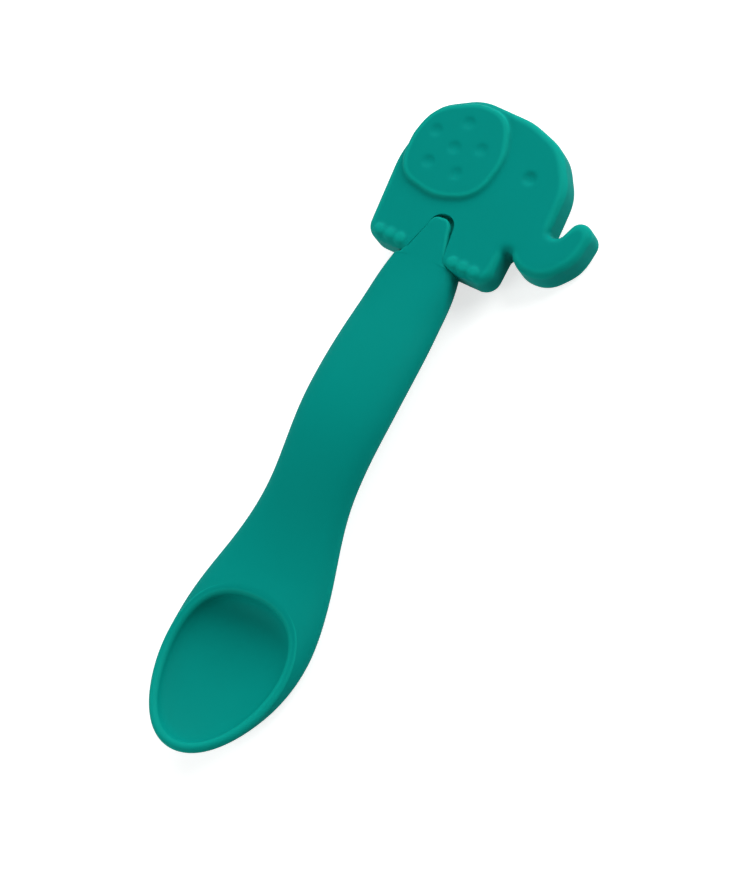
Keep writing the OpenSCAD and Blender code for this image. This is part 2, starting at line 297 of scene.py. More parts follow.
def mark_convexity(piece: Piece, softening: int, gain: float = 1.0) -> None:
    """Store how sharply each point of a skin stands out, as one over a radius in millimetres.

    Args:
        piece: The object to mark.
        softening: How many times each value is averaged with its neighbours'.
        gain: What makes up for the averaging at narrow edges.
    """
    mesh = piece.data
    places = rows_of(mesh.vertices, "co", 3, float) / MM
    normals = rows_of(mesh.vertex_normals, "vector", 3, float)
    edges = rows_of(mesh.edges, "vertices", 2, int)
    here, there = np.vstack([edges, edges[:, ::-1]]).T
    count = np.bincount(here, minlength=len(places))
    way = places[there] - places[here]
    sunk = -np.einsum("ij,ij->i", way, normals[here])
    bend = np.bincount(here, 2 * sunk / (way**2).sum(1), len(places)) / count
    bend = gain * np.maximum(bend, 0)
    for _ in range(softening):
        bend = (bend + np.bincount(here, bend[there], len(places)) / count) / 2
    mark = mesh.attributes.new(CONVEXITY, "FLOAT", "POINT")
    mark.data.foreach_set("value", bend)


# Finishes


def linear(hex_colour: str) -> tuple[float, float, float, float]:
    """Turn an sRGB hex colour to the linear values that Blender's sockets take.

    Args:
        hex_colour: Such as "#00897B".

    Returns:
        Red, green, blue and an alpha of 1.
    """
    channels = [int(hex_colour[i : i + 2], 16) / 255 for i in (1, 3, 5)]
    values = [c / 12.92 if c <= 0.04045 else ((c + 0.055) / 1.055) ** 2.4 for c in channels]
    return (values[0], values[1], values[2], 1.0)


class Recipe:
    """A material's or the world's node tree, started empty."""

    def __init__(self, holder: bpy.types.Material | bpy.types.World) -> None:
        """Empty the tree.

        Args:
            holder: The material or world that the nodes are for.
        """
        holder.use_nodes = True
        self.tree = holder.node_tree
        self.tree.nodes.clear()

    def add(
        self,
        kind: str,
        values: dict[str | int, object] | None = None,
        links: dict[str | int, Socket] | None = None,
        **settings: object,
    ) -> bpy.types.Node:
        """Add a node with its sockets' own values, its links and its settings.

        Args:
            kind: The node's type.
            values: Values for its input sockets, by name or number.
            links: The output socket that each input, by name or number, is linked to.
            settings: The node's properties.

        Returns:
            The node.
        """
        node = self.tree.nodes.new(kind)
        for name, value in settings.items():
            setattr(node, name, value)
        for name, value in (values or {}).items():
            node.inputs[name].default_value = value
        for name, socket in (links or {}).items():
            self.tree.links.new(socket, node.inputs[name])
        return node


@dataclass(frozen=True)
class MouldedSilicone:
    """Liquid silicone rubber from a blasted steel mould: deep in colour, matte, with a fine grain."""

    name: str = "teal_moulded_silicone"
    # The pigment at its deepest and its palest, which drift slowly over the part
    deep: str = "#00867C"
    pale: str = "#008A81"
    # A paler colour painted where the skin stands out, as on the lip and the toenails: a painted highlight
    # for the sheen that such edges catch
    painted_highlight: str = "#05978A"
    # How large the lumps of a pattern are in millimetres, and its octaves
    drift: Flat = (18.0, 2.0)
    # The mould's grain, drawn about three times as coarse as the real blasted steel so that it shows
    grain: Flat = (0.35, 3.0)
    grain_height_mm: float = 0.004
    # Slow unevenness of the moulded skin
    wave: Flat = (7.0, 1.0)
    wave_height_mm: float = 0.012
    # Convexity, as one over a radius in millimetres, where the painted highlight starts and is full
    painted_highlight_from: float = 0.16
    painted_highlight_to: float = 0.48
    roughness_low: float = 0.58
    roughness_high: float = 0.66
    ior: float = 1.41
    # The blasted skin scatters nearly all of its gloss
    gloss_share: float = 0.035
    # How far light spreads under the skin, and its share
    glow_mm: float = 0.8
    glow_share: float = 0.08

    def material(self) -> bpy.types.Material:
        """Make the material.

        Returns:
            The material, which follows Object coordinates and the skin's own convexity.
        """
        material = bpy.data.materials.new(self.name)
        recipe = Recipe(material)
        place = recipe.add("ShaderNodeTexCoord").outputs["Object"]
        drift, grain, wave = (
            recipe.add(
                "ShaderNodeTexNoise", {"Scale": 1 / (lump_mm * MM), "Detail": octaves}, {"Vector": place}
            ).outputs["Fac"]
            for lump_mm, octaves in (self.drift, self.grain, self.wave)
        )
        roughness = {"To Min": self.roughness_low, "To Max": self.roughness_high}
        rough = recipe.add("ShaderNodeMapRange", roughness, {"Value": wave})
        waved = recipe.add("ShaderNodeBump", {"Distance": self.wave_height_mm * MM}, {"Height": wave})
        grained = recipe.add(
            "ShaderNodeBump",
            {"Distance": self.grain_height_mm * MM},
            {"Height": grain, "Normal": waved.outputs["Normal"]},
        )
        radius = self.glow_mm * MM
        shader = recipe.add(
            "ShaderNodeBsdfPrincipled",
            {
                "IOR": self.ior,
                "Specular IOR Level": self.gloss_share,
                "Subsurface Weight": self.glow_share,
                "Subsurface Radius": (radius / 2, radius, radius),
                "Subsurface Scale": 1.0,
            },
            {
                "Base Color": self._colour(recipe, drift),
                "Roughness": rough.outputs["Result"],
                "Normal": grained.outputs["Normal"],
            },
        )
        recipe.add("ShaderNodeOutputMaterial", links={"Surface": shader.outputs["BSDF"]})
        return material

    def _colour(self, recipe: Recipe, drift: Socket) -> Socket:
        """Mix the two pigments, and over them a painted highlight on what stands out.

        Args:
            recipe: The material's tree.
            drift: The pigments' slow drift.

        Returns:
            The colour.
        """
        stands_out = recipe.add("ShaderNodeAttribute", attribute_name=CONVEXITY)
        painted_highlight = recipe.add(
            "ShaderNodeMapRange",
            {"From Min": self.painted_highlight_from, "From Max": self.painted_highlight_to},
            {"Value": stands_out.outputs["Fac"]},
            interpolation_type="SMOOTHSTEP",
        )
        ends = {"A": linear(self.deep), "B": linear(self.pale)}
        pigment = recipe.add("ShaderNodeMix", ends, {"Factor": drift}, data_type="RGBA")
        # The painted highlight: a paler colour laid over the pigment where the skin stands out sharply
        return recipe.add(
            "ShaderNodeMix",
            {"B": linear(self.painted_highlight)},
            {"Factor": painted_highlight.outputs["Result"], "A": pigment.outputs[2]},
            data_type="RGBA",
        ).outputs[2]


@dataclass(frozen=True)
class MouldedNylon:
    """Natural nylon as it leaves the mould: ivory, slightly waxy, hidden inside the silicone."""

    name: str = "ivory_moulded_nylon"
    deep: str = "#D9CFB8"
    pale: str = "#E6DECB"
    drift_mm: float = 6.0
    grain_mm: float = 0.4
    grain_height_mm: float = 0.006
    roughness: float = 0.5
    ior: float = 1.53

    def material(self) -> bpy.types.Material:
        """Make the material.

        Returns:
            The material, which follows Object coordinates.
        """
        material = bpy.data.materials.new(self.name)
        recipe = Recipe(material)
        place = recipe.add("ShaderNodeTexCoord").outputs["Object"]
        drift, grain = (
            recipe.add("ShaderNodeTexNoise", {"Scale": 1 / (lump_mm * MM)}, {"Vector": place})
            for lump_mm in (self.drift_mm, self.grain_mm)
        )
        ends = {"A": linear(self.deep), "B": linear(self.pale)}
        colour = recipe.add("ShaderNodeMix", ends, {"Factor": drift.outputs["Fac"]}, data_type="RGBA")
        distance = {"Distance": self.grain_height_mm * MM}
        bump = recipe.add("ShaderNodeBump", distance, {"Height": grain.outputs["Fac"]})
        shader = recipe.add(
            "ShaderNodeBsdfPrincipled",
            {"Roughness": self.roughness, "IOR": self.ior},
            {"Base Color": colour.outputs[2], "Normal": bump.outputs["Normal"]},
        )
        recipe.add("ShaderNodeOutputMaterial", links={"Surface": shader.outputs["BSDF"]})
        return material


# Bowl and handle


@dataclass
class SpoonMoulding:
    """Bowl, handle and tongue: one silicone moulding, drawn out ring by ring from the tongue's end.

    Names that end in _at are places along the spoon, from the bowl's tip.
    """

    # Bowl
    bowl_w: float = 29.4
    bowl_wide_at: float = 25.0
    bowl_rise_l: float = 28.0
    nose_l: float = 12.0
    tip_z: float = 9.0
    nose_depth: float = 4.0
    bowl_z: float = 3.3
    opening_end_at: float = 34.8
    rim_sag: float = 1.9
    bowl_crown: float = 7.3
    crown_from_at: float = 16.0
    lip_r: float = 1.05
    floor_t: float = 1.7
    deep_at: float = 25.0
    # Handle
    root_at: float = 39.0
    waist_at: float = 59.0
    root_rise: float = 3.8
    waist_w: float = 17.8
    grip_at: float = 76.0
    grip_w: float = 19.0
    grip_t: float = 8.4
    crest_at: float = 73.0
    crest_z: float = 7.8
    taper_l: float = 38.8
    square_from_at: float = 94.0
    neck_at: float = 107.2
    neck_z: float = 5.1
    shoulder_l: float = 0.6
    tongue_w: float = 10.4
    tongue_t: float = 7.14
    tongue_l: float = 9.2
    tongue_end_w: float = 5.6
    # How blunt or square each form is, 2 being an ellipse
    section_power: float = 2.3
    neck_power: float = 4.0
    tongue_power: float = 10.0
    close_power: float = 2.5
    blunt_power: float = 8.0
    rise_power: float = 0.8
    hollow_end_power: float = 2.5
    hollow_tip_power: float = 1.6
    hollow_turn_share: float = 0.6
    # How far from an edge the skin is softened, and how often
    blend_mm: float = 2.0
    blend_passes: int = 10
    # What the softening takes off the sides and off the tip, which is added first
    side_loss_mm: float = 0.11
    tip_loss_mm: float = 0.22
    # How often the convexity that the painted highlight follows is averaged
    highlight_passes: int = 2
    # Points and rings, and how far out from a ring's middle its points are looked for
    spokes: int = 64
    cap_n: int = 9
    tongue_n: int = 6
    shoulder_n: int = 6
    taper_n: int = 14
    grip_n: int = 24
    swing_n: int = 30
    lip_n: int = 10
    hollow_n: int = 18
    reach: float = 2.0
    halvings: int = 24

    @property
    def tongue_end_at(self) -> float:
        """Place of the tongue's end."""
        return self.neck_at + self.tongue_l

    @property
    def cap_at(self) -> float:
        """Place where the tongue's round end starts."""
        return self.tongue_end_at - self.tongue_end_w / 2

    @property
    def shoulder_at(self) -> float:
        """Place where the handle starts to step down to the tongue."""
        return self.neck_at - self.shoulder_l

    @property
    def handle_course(self) -> tuple[Flat, Flat]:
        """Half the handle's thickness at the grip and at the neck."""
        return (self.grip_at, self.grip_t / 2), (self.neck_at, self.tongue_t / 2)

    def half_w(self, x: float) -> float:
        """Half the moulding's width.

        Args:
            x: The place along the spoon.

        Returns:
            The half width there.
        """
        if x < self.bowl_wide_at:
            return self.bowl_w / 2 * arch(1 - x / self.bowl_wide_at, 2)
        if x < self.grip_at:
            wide, waist = (self.bowl_wide_at, self.bowl_w), (self.waist_at, self.waist_w)
            return course(x, wide, waist, (self.grip_at, self.grip_w)) / 2
        if x < self.neck_at:
            closing = self.grip_w * arch((x - self.grip_at) / self.taper_l, self.close_power)
            return course(x, (self.shoulder_at, closing), (self.neck_at, self.tongue_w)) / 2
        if x < self.cap_at:
            along = part_of(x, self.neck_at, self.cap_at)
            return (self.tongue_w + (self.tongue_end_w - self.tongue_w) * along) / 2
        return self.tongue_end_w / 2 * arch(part_of(x, self.cap_at, self.tongue_end_at), 2)

    def edge_z(self, x: float) -> float:
        """Height of the moulding's widest line.

        Args:
            x: The place along the spoon.

        Returns:
            The height there.
        """
        if x < self.bowl_rise_l:
            return ease(self.tip_z, self.bowl_z, (max(x, 0.0) / self.bowl_rise_l) ** self.rise_power)
        crest = (self.crest_at, self.crest_z)
        return course(x, (self.root_at, self.bowl_z), crest, (self.neck_at, self.neck_z))

    def end_round(self, x: float) -> float:
        """Share of the thickness that the nose's and the tongue's round ends leave at x."""
        nose = arch(1 - part_of(x, 0, self.nose_l), 2)
        return nose * arch(part_of(x, self.cap_at, self.tongue_end_at), self.blunt_power)

    def below(self, x: float) -> float:
        """Depth of the moulding below its widest line at x."""
        bowl = (self.nose_l, self.nose_depth), (self.bowl_rise_l, self.bowl_z), (self.root_at, self.bowl_z)
        return self.end_round(x) * course(x, *bowl, *self.handle_course)

    def above(self, x: float) -> float:
        """Height of the moulding above its widest line at x."""
        bowl = (self.crown_from_at, self.bowl_crown), (self.root_at, self.root_rise)
        return self.end_round(x) * course(x, *bowl, *self.handle_course)

    def power(self, x: float) -> float:
        """How square the cross-section is at x, as a superellipse's power."""
        handle, neck = (self.square_from_at, self.section_power), (self.shoulder_at, self.neck_power)
        return course(x, handle, neck, (self.neck_at, self.tongue_power))

    def skin_gap(self, p: Vector) -> float:
        """Find on which side of the outer skin a point lies.

        Args:
            p: The point.

        Returns:
            Below 0 inside the skin, and above 0 outside it.
        """
        if p.x <= 0:
            return 1.0
        width, rise = self.half_w(p.x), p.z - self.edge_z(p.x)
        height = self.above(p.x) if rise > 0 else self.below(p.x)
        if width <= 0 or height <= 0:
            return 1.0
        power = self.power(p.x)
        return (abs(p.y) / width) ** power + (abs(rise) / height) ** power - 1

    def skin_ring(self, top: Vector, bottom: Vector, sag: float) -> list[Vector]:
        """A ring of the skin, in the sheet that runs from a top point to a bottom point.

        Args:
            top: The ring's point on the moulding's top.
            bottom: Its point on the underside.
            sag: How far the sheet dips between the two.

        Returns:
            The ring's points.
        """
        centre, along = (top + bottom) / 2, (top - bottom) / 2
        across = max(self.half_w(top.x), self.half_w(centre.x))

        def sheet(turn: float, r: float) -> Vector:
            """The sheet's point at this turn and at a share r of its half sizes."""
            c, s = r * cos(turn), r * sin(turn)
            return centre + along * c + Vector((0, across * s, 0)) - Vector((0, 0, sag * (1 - c**2)))

        ring = []
        for i in range(self.spokes):
            turn, near, far = radians(360 * i / self.spokes), 0.0, self.reach
            for _ in range(self.halvings):
                middle = (near + far) / 2
                outside = self.skin_gap(sheet(turn, middle)) > 0
                near, far = (near, middle) if outside else (middle, far)
            ring.append(sheet(turn, (near + far) / 2))
        return ring

    def top(self, x: float) -> Vector:
        """The moulding's top point at x."""
        return Vector((x, 0, self.edge_z(x) + self.above(x)))

    def bottom(self, x: float) -> Vector:
        """The moulding's lowest point at x."""
        return Vector((x, 0, self.edge_z(x) - self.below(x)))

    def upright_ring(self, x: float) -> list[Vector]:
        """The skin's ring straight across the spoon at x."""
        return self.skin_ring(self.top(x), self.bottom(x), 0.0)

    def handle_rings(self) -> list[list[Vector]]:
        """Draw the handle's upright rings.

        Returns:
            The rings, from the tongue's end back to the bowl.
        """
        turns = [90 * (1 - (i + 1) / (self.cap_n + 1)) for i in range(self.cap_n)]
        places = [self.cap_at + self.tongue_end_w / 2 * sin(radians(turn)) for turn in turns]
        places += spread(self.cap_at, self.neck_at, self.tongue_n)
        places += spread(self.neck_at, self.shoulder_at, self.shoulder_n)
        places += spread(self.shoulder_at, self.grip_at, self.taper_n)
        places += spread(self.grip_at, self.root_at, self.grip_n) + [self.root_at]
        return [self.upright_ring(x) for x in places]

    def swing_rings(self) -> list[list[Vector]]:
        """Swing rings about the opening's end until they lie in the rim.

        Returns:
            The rings, from the handle's last to the rim.
        """
        rings = []
        for i in range(1, self.swing_n + 1):
            t = i / self.swing_n
            top = self.top(self.root_at + (self.opening_end_at - self.root_at) * t)
            bottom = self.bottom(self.root_at * (1 - sin(radians(90 * t))))
            rings.append(self.skin_ring(top, bottom, self.rim_sag * t * t))
        return rings

    def towards_tip(self, i: int) -> float:
        """A spoke's share of the way round the rim from the handle's end to the tip, on either side."""
        return 1 - abs(1 - 2 * i / self.spokes)

    def lip_rings(self, rim: list[Vector]) -> list[list[Vector]]:
        """Draw the soft lip, a bead at the tip of which only the inner half is left at the handle's end.

        Args:
            rim: The last swing ring.

        Returns:
            The lip's rings, from outside to inside.
        """
        centre = self.opening_end_at / 2
        rings = []
        for step in range(1, self.lip_n + 1):
            turn = radians(180 * step / self.lip_n)
            ring = []
            for i, p in enumerate(rim):
                inwards = Vector((centre - p.x, -p.y, 0)).normalized() * (1 - cos(turn))
                bead = ease(0, 1, self.towards_tip(i))
                lift = bead * sin(turn) if cos(turn) > 0 else bead - 1 + sin(turn)
                ring.append(p + self.lip_r * (inwards + Vector((0, 0, lift))))
            rings.append(ring)
        return rings

    def hollow_rings(self, edge: list[Vector]) -> list[list[Vector]]:
        """Draw the hollow, blunt and steep at the handle's end and running out gently to the tip.

        Args:
            edge: The lip's innermost ring.

        Returns:
            The hollow's rings, down to the deepest point.
        """
        deep = self.deep_point()
        rings = []
        for j in range(1, self.hollow_n):
            share = 1 - (j / self.hollow_n) ** 2
            ring = []
            for i, p in enumerate(edge):
                turned = part_of(self.towards_tip(i), 0, self.hollow_turn_share)
                power = ease(self.hollow_end_power, self.hollow_tip_power, turned)
                level = deep + (p - deep) * share
                height = self.floor_t + (p.z - self.floor_t) * (1 - arch(share, power))
                ring.append(Vector((level.x, level.y, height)))
            rings.append(ring)
        return rings

    def deep_point(self) -> Vector:
        """The hollow's deepest point."""
        return Vector((self.deep_at, 0, self.floor_t))

    def neck_edges(self) -> list[Vector]:
        """The edges of the step to the tongue, on the handle's top and underside."""
        rings = self.upright_ring(self.shoulder_at) + self.upright_ring(self.neck_at)
        return [p for p in rings if abs(p.y) < self.tongue_end_w / 2]

    def build(self, placed: Placing) -> Piece:
        """Draw the moulding.

        Args:
            placed: Takes a point of the spoon, in millimetres, to its place in the frame, in metres.

        Returns:
            The finished mesh.
        """

        def filled(p: Vector) -> Vector:
            """A point's place in the frame, with what the softening will take off added."""
            side = self.side_loss_mm * p.y / max(self.half_w(p.x), self.tongue_end_w)
            return placed(p + Vector((self.tip_loss_mm * (part_of(p.x, 0, self.nose_l) - 1), side, 0)))

        swing = self.swing_rings()
        lip = self.lip_rings(swing[-1])
        rings = self.handle_rings() + swing + lip + self.hollow_rings(lip[-1])
        drawer = RingDrawer("soft_bowl_and_handle", self.spokes, filled=False)
        drawer.draw([[filled(p) for p in ring] for ring in rings])
        drawer.close_to(placed(self.deep_point()))
        drawer.select_open_edge()
        drawer.close_to(placed(Vector((self.tongue_end_at, 0, self.neck_z))))
        piece = drawer.done()
        self.soften(piece, [placed(p) for p in swing[-1] + lip[-1]])
        self.soften(piece, [placed(p) for p in self.neck_edges()])
        finish_with(piece, "SUBSURF", levels=1, render_levels=1)
        mark_convexity(piece, self.highlight_passes)
        return piece

    def soften(self, piece: Piece, edges: list[Vector]) -> None:
        """Blend the forms on both sides of an edge.

        Args:
            piece: The moulding.
            edges: The points of the edge, in the frame.
        """
        tree = KDTree(len(edges))
        for i, place in enumerate(edges):
            tree.insert(place, i)
        tree.balance()
        group = piece.vertex_groups.new(name="edge")
        for vertex in piece.data.vertices:
            away = tree.find(vertex.co)[2] / MM
            if away < self.blend_mm:
                group.add([vertex.index], 1 - (away / self.blend_mm) ** 2, "REPLACE")
        passes = self.blend_passes
        finish_with(piece, "SMOOTH", factor=SMOOTHING, iterations=passes, vertex_group=group.name)
        piece.vertex_groups.clear()


# Elephant


@dataclass
class OutlinePoint:
    """A point of a round-cornered outline, with the way out of the shape there.

    The way is left at zero where the outline isn't drawn in.
    """

    place: Vector
    outwards: Vector


def corner(a: Vector, b: Vector, c: Vector, r: float, step: float) -> list[OutlinePoint]:
    """Round the corner b of an outline that comes from a and goes to c.

    Args:
        a: The corner before.
        b: The corner.
        c: The corner after.
        r: Its radius, cut down where the sides are short.
        step: The arc's step in degrees.

    Returns:
        The arc's points, for an outline that runs clockwise seen from above.
    """
    to_a, to_c = (a - b).normalized(), (c - b).normalized()
    half = acos(max(-1.0, min(1.0, to_a.dot(to_c)))) / 2
    tangent = min(r / tan(half), (a - b).length / 2, (c - b).length / 2)
    arc_r = tangent * tan(half)
    centre = b + (to_a + to_c).normalized() * arc_r / sin(half)
    start = b + to_a * tangent - centre
    side = to_a.x * to_c.y - to_a.y * to_c.x
    turn = (-1 if side > 0 else 1) * (180 - 2 * degrees(half))
    steps = max(ceil(abs(turn) / step), 1)
    first = degrees(atan2(start.y, start.x))
    points = []
    for i in range(steps + 1):
        angle = radians(first + turn * i / steps)
        way = Vector((cos(angle), sin(angle)))
        points.append(OutlinePoint(centre + way * arc_r, way if side > 0 else -way))
    return points


def rounded(rows: Sequence[Point], step: float) -> list[OutlinePoint]:
    """A closed outline with round corners.

    Args:
        rows: Each corner's place along, place across and radius.
        step: The arcs' step in degrees.

    Returns:
        The outline's points, whose ways out all leave the shape.
    """
    corners = [Vector(row[:2]) for row in rows]
    points: list[OutlinePoint] = []
    for i, row in enumerate(rows):
        after = corners[(i + 1) % len(rows)]
        points += corner(corners[i - 1], corners[i], after, row[2], step)
    area = sum(
        p.place.x * q.place.y - q.place.x * p.place.y
        for p, q in zip(points, points[1:] + points[:1])
    )
    if area > 0:
        for p in points:
            p.outwards = -p.outwards
    return points


@dataclass
class ElephantFigure:
    """A flat elephant, much the same on both faces, that holds the handle's tongue between its feet."""

    spoon: SpoonMoulding
    placed: Placing
    figure_h: float = 34.0
    figure_w: float = 45.4
    figure_t: float = 7.2
    figure_turn: float = -5.0
    body_round: float = 1.5
    # How far the lower and the upper ear stand proud, and the hollow slope up to their edge
    ears_proud: Flat = (1.5, 0.9)
    ear_round: float = 0.3
    skirt_l: float = 1.6
    skirt_power: float = 1.8
    # Dimples in the ears and for the eyes
    dimple_d: float = 3.0
    dimple_depth: float = 0.35
    dimple_ring_r: float = 5.8
    dimple_n: int = 5
    eye_d: float = 3.2
    eye_depth: float = 0.6
    # Toenails, the first a gap away from the tongue's side
    toe_n: int = 3
    toe_gap: float = 1.2
    toe_pitch: float = 2.5
    toe_up: float = 1.5
    toe_proud: float = 0.5
    nail_r: float = 1.38
    nail_round: float = 0.8
    # The notch between the feet, which press on the tongue, and its block's length outside them
    foot_round: float = 0.4
    notch_fit: float = 0.1
    notch_lead: float = 1.0
    notch_press: float = 0.6
    # The groove round the tongue's end, and how far its own end lies past the tongue's
    groove_depth: float = 1.2
    groove_off: Flat = (0.65, -0.7)
    # The outlines' arc step in degrees, and the steps of edges, notch, balls and pins, and toenails
    arc_step: float = 6.0
    edge_n: int = 6
    notch_n: int = 12
    round_n: int = 48
    nail_n: int = 5
    # The grid of the fused skin, how often it and its convexity, which the painted highlight follows, are
    # averaged, and what that is made up by
    skin_mm: float = 0.25
    soft_passes: int = 8
    highlight_passes: int = 30
    highlight_gain: float = 1.5
    # Each corner's distance up from the feet and to the left, and its radius. Left is a share of the
    # figure's width, and the other two are shares of its height
    body_shares: tuple[Point, ...] = (
        (-0.012, 0.312, 0.1),
        (0.5, 0.373, 0.5),
        (0.86, 0.345, 0.22),
        (1.01, 0.15, 0.3),
        (1.005, -0.12, 0.4),
        (0.93, -0.31, 0.3),
        (0.72, -0.43, 0.3),
        (0.415, -0.46, 0.07),
        (0.44, -0.515, 0.05),
        (0.59, -0.55, 0.075),
        (0.56, -0.645, 0.08),
        (0.34, -0.64, 0.25),
        (0.165, -0.54, 0.2),
        (0.165, -0.4, 0.16),
        (0.31, -0.315, 0.03),
        (0, -0.332, 0.09),
    )
    ear_shares: tuple[Point, ...] = (
        (0.838, 0.325, 0.22),
        (0.972, 0.145, 0.3),
        (0.968, -0.024, 0.2),
        (0.72, -0.112, 0.3),
        (0.437, -0.088, 0.22),
        (0.343, 0.1, 0.3),
        (0.395, 0.32, 0.2),
        (0.64, 0.355, 0.3),
    )
    skirt_shares: tuple[Point, ...] = (
        (0.9, 0.14, 0.24),
        (0.945, -0.045, 0.2),
        (0.72, -0.13, 0.3),
        (0.42, -0.107, 0.24),
        (0.321, 0.1, 0.3),
        (0.374, 0.327, 0.22),
        (0.6, 0.325, 0.3),
    )
    # Places of the eye and of the ear's middle dimple, in the same shares
    eye_share: Flat = (0.68, -0.25)
    dimple_share: Flat = (0.66, 0.135)

    @property
    def foot_at(self) -> float:
        """Place of the feet along the spoon."""
        return self.spoon.neck_at + self.notch_fit

    def place(self, up: float, left: float) -> Vector:
        """A place on the turned figure, this far up from the feet and to the left of the tongue."""
        c, s = cos(radians(self.figure_turn)), sin(radians(self.figure_turn))
        return Vector((self.foot_at + up * c - left * s, up * s + left * c, self.spoon.neck_z))

    def rows(self, shares: Sequence[Point]) -> list[Point]:
        """Turn corners given as shares to millimetres.

        Args:
            shares: Each corner's shares.

        Returns:
            Each corner's place along and across the spoon, and its radius.
        """
        rows = []
        for up, left, r in shares:
            place = self.place(up * self.figure_h, left * self.figure_w)
            rows.append((place.x, place.y, r * self.figure_h))
        return rows

    def slab(self, name: str, outline: Sequence[OutlinePoint], ladder: Sequence[Flat]) -> Piece:
        """Draw a slab, from its lower face up through each rung of a ladder.

        Args:
            name: The new object's name.
            outline: The slab's outline.
            ladder: Each rung's distance in from the outline, and its height over the figure's middle.

        Returns:
            The slab.
        """
        drawer = RingDrawer(name, len(outline), filled=True)
        rings = []
        for inset, height in ladder:
            flat = [p.place - p.outwards * inset for p in outline]
            z = self.spoon.neck_z + height
            rings.append([self.placed(Vector((p.x, p.y, z))) for p in flat])
        drawer.draw(rings)
        return drawer.done()

    def slabs(self) -> list[Piece]:
        """Draw the body, the ears and the slopes up to the ears' edges.

        Returns:
            The slabs.
        """
        slabs = []
        for name, shares, rungs, (lower, upper) in (
            ("elephant_body", self.body_shares, self.body_rungs, (0.0, 0.0)),
            ("elephant_ears", self.ear_shares, self.ear_rungs, self.ears_proud),
            ("ear_skirts", self.skirt_shares, self.skirt_rungs, self.ears_proud),
        ):
            outline = rounded(self.rows(shares), self.arc_step)
            ladder = [(inset, -height) for inset, height in rungs(lower)[::-1]] + rungs(upper)
            slabs.append(self.slab(name, outline, ladder))
        return slabs

    def body_rungs(self, proud: float) -> list[Flat]:
        """The rungs of the body's round edge, from the outline up, for a face that is this far proud."""
        r, turns = self.body_round, [radians(90 * i / self.edge_n) for i in range(self.edge_n, -1, -1)]
        return [(r * (1 - sin(t)), self.figure_t / 2 + proud - r * (1 - cos(t))) for t in turns]

    def ear_rungs(self, proud: float) -> list[Flat]:
        """The rungs of the blunt edge of an ear that is this far proud."""
        top = self.figure_t / 2 + proud
        return [(0.0, top - self.ear_round), (self.ear_round, top)]

    def skirt_rungs(self, proud: float) -> list[Flat]:
        """The rungs of the hollow slope up to the edge of an ear that is this far proud."""
        face, steps = self.figure_t / 2, [i / self.edge_n for i in range(self.edge_n + 1)]
        return [(self.skirt_l * t, face + proud * t**self.skirt_power) for t in steps]

    def toes(self) -> Piece:
        """Add each foot's toenails, pins through the foot whose domed ends stand proud of both faces.

        Returns:
            The joined toenails.
        """
        first = self.spoon.tongue_w / 2 + self.toe_gap
        dome = {"width": self.nail_round * MM, "segments": self.nail_n, "limit_method": "ANGLE"}
        pins = []
        for side in (-1, 1):
            for i in range(self.toe_n):
                place = self.place(self.toe_up, side * (first + i * self.toe_pitch))
                deselect_all()
                bpy.ops.mesh.primitive_cylinder_add(
                    vertices=self.round_n,
                    radius=self.nail_r * MM,
                    depth=(self.figure_t + 2 * self.toe_proud) * MM,
                    location=self.placed(place),
                )
                pins.append(settled())
                finish_with(pins[-1], "BEVEL", **dome)
        return joined(pins)

    def dimples(self, places: Sequence[Flat], faces: Flat, width: float, depth: float) -> Piece:
        """Add the balls that press dimples into both faces.

        Args:
            places: Each dimple's height up from the feet and its distance to the left.
            faces: How far the lower and the upper face lie from the figure's middle.
            width: A dimple's diameter.
            depth: Its depth.

        Returns:
            The balls.
        """
        radius = (width**2 / 4 + depth**2) / (2 * depth)
        lower, upper = (Vector((0, 0, face - depth + radius)) for face in faces)
        centres = [self.place(*place) for place in places]
        balls = []
        for centre in [c + upper for c in centres] + [c - lower for c in centres]:
            deselect_all()
            bpy.ops.mesh.primitive_uv_sphere_add(
                segments=self.round_n,
                ring_count=self.round_n // 2,
                radius=radius * MM,
                location=self.placed(centre),
            )
            balls.append(settled())
        return joined(balls)

    def ear_places(self) -> list[Flat]:
        """Lay out the ear's dimples, one in the middle and a ring of them round it.

        Returns:
            Each dimple's height up from the feet and its distance to the left.
        """
        up, left = self.dimple_share[0] * self.figure_h, self.dimple_share[1] * self.figure_w
        ring = [radians(360 * i / self.dimple_n) for i in range(self.dimple_n)]
        r = self.dimple_ring_r
        return [(up, left)] + [(up + r * cos(turn), left + r * sin(turn)) for turn in ring]

    def notch(self, end_off: Flat, end_r: float, low: float, high: float) -> Piece:
        """Draw a block that cuts the notch between the feet, which follows the tongue.

        Args:
            end_off: How far its round end lies past the tongue's, along and across the spoon.
            end_r: The round end's radius.
            low: The height of its lower face over the figure's middle.
            high: The height of its upper face.

        Returns:
            The block.
        """
        turns = [radians(90 * i / self.notch_n) for i in range(self.notch_n + 1)]
        places = [self.foot_at - self.notch_lead]
        places += spread(self.spoon.shoulder_at, self.foot_at, self.edge_n)
        places += [self.foot_at + self.foot_round * (1 - cos(turn)) for turn in turns]
        side = []
        for x in places:
            corner_t = 1 - part_of(x, self.foot_at, self.foot_at + self.foot_round)
            half = self.spoon.half_w(x) - self.notch_press
            side.append(Vector((x, half + self.foot_round * (1 - arch(corner_t, 2)))))
        middle = Vector((self.spoon.cap_at + end_off[0], end_off[1]))
        half_circle = turns + [turn + radians(90) for turn in turns[1:]]
        end = [middle + Vector((end_r * sin(turn), end_r * cos(turn))) for turn in half_circle]
        other_side = [Vector((p.x, -p.y)) for p in reversed(side)]
        points = [OutlinePoint(p, Vector((0, 0))) for p in side + end + other_side]
        return self.slab("notch_block", points, [(0, low), (0, high)])

